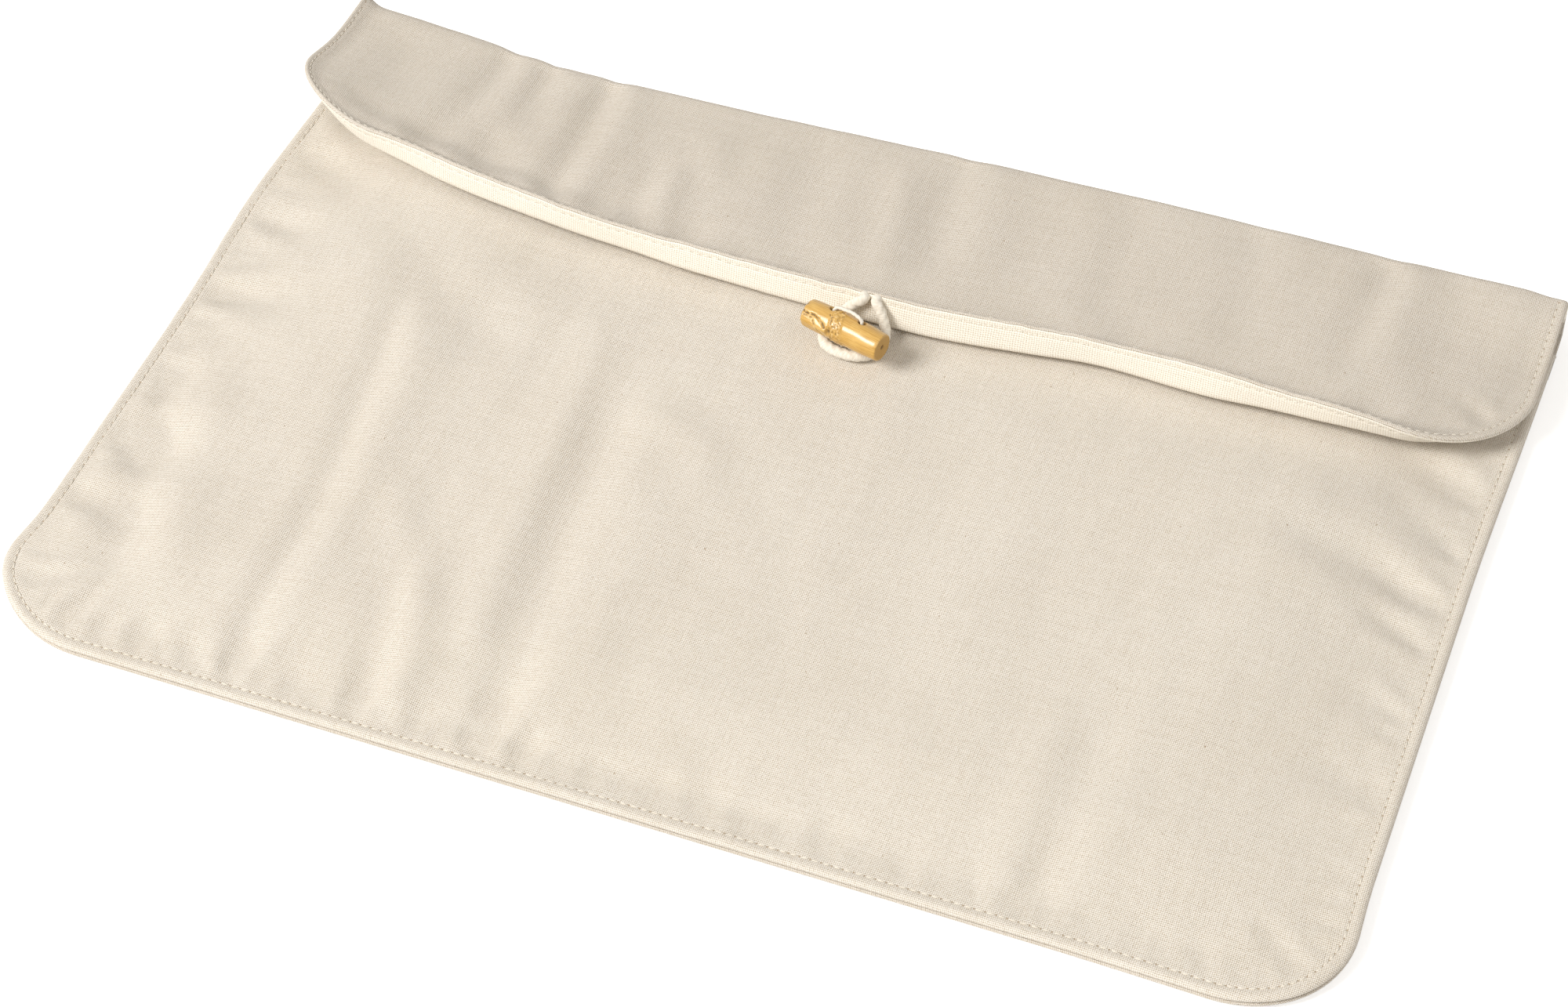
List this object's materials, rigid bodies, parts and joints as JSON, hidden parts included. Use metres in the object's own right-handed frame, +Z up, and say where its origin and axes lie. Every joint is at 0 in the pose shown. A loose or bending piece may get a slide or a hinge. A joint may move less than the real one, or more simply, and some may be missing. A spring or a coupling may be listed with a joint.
{
  "type": "laptop pouch",
  "caption": "Padded cotton laptop pouch with rounded sewn edges, a fold-over flap and a cord loop that hooks over a bamboo toggle.",
  "frame": {"origin": "middle of the closed pouch's outline, on the surface that its back lies on", "axes": "+X across the width, +Y from the sewn bottom edge to the fold, +Z up out of the front, through the flap"},
  "size_m": [0.4, 0.273, 0.0297],
  "materials": {
    "canvas": "matte plain-weave cotton canvas, unbleached",
    "lining": "matte open-weave white cotton",
    "padding": "soft white batting",
    "thread": "white cotton sewing thread",
    "cord": "twisted white cotton cord",
    "bamboo": "varnished bamboo"
  },
  "bodies": {
    "pouch": {"back_cloth": "canvas", "back_padding": "padding", "back_lining": "lining", "front_cloth": "canvas", "front_padding": "padding", "front_lining": "lining", "mouth_seam_allowance": "canvas", "mouth_topstitch": "thread", "rim_seam_allowance": "canvas", "rim_topstitch": "thread", "rim_bobbin_thread": "thread", "fold_lower_bend": "canvas", "toggle_tack": "thread"},
    "fold": {"fold_cloth": "canvas", "fold_padding": "padding", "fold_lining": "lining", "fold_upper_bend": "canvas"},
    "flap": {"flap_cloth": "canvas", "flap_padding": "padding", "flap_lining": "lining", "flap_seam_allowance": "canvas", "flap_topstitch": "thread", "flap_bobbin_thread": "thread", "loop_tail": "cord", "loop_bartack": "thread"},
    "loop": {"loop_cord": "cord"},
    "toggle": {"toggle": "bamboo", "toggle_thread": "thread"}
  },
  "joints": [
    {"name": "fold_open", "type": "hinge", "parent": "pouch", "child": "fold", "pos_m": [0, 0.1325, 0.004], "axis": [-1, 0, 0], "range_deg": [0, 85], "deforming": ["fold_lower_bend"]},
    {"name": "flap_open", "type": "hinge", "parent": "fold", "child": "flap", "pos_m": [0, 0.1325, 0.015], "axis": [-1, 0, 0], "range_deg": [0, 85], "deforming": ["fold_upper_bend"]},
    {"name": "loop_lift", "type": "hinge", "parent": "flap", "child": "loop", "pos_m": [0.0051, 0.06, 0.0238], "axis": [1, 0, 0], "range_deg": [-120, 0], "deforming": ["loop_cord"]},
    {"name": "toggle_swivel", "type": "hinge", "parent": "pouch", "child": "toggle", "pos_m": [0.002, 0.0442, 0.0232], "axis": [0, 0, 1], "range_deg": [-25, 45]}
  ],
  "couplings": [
    {"joint": "flap_open", "follows": "fold_open", "ratio": 1}
  ]
}
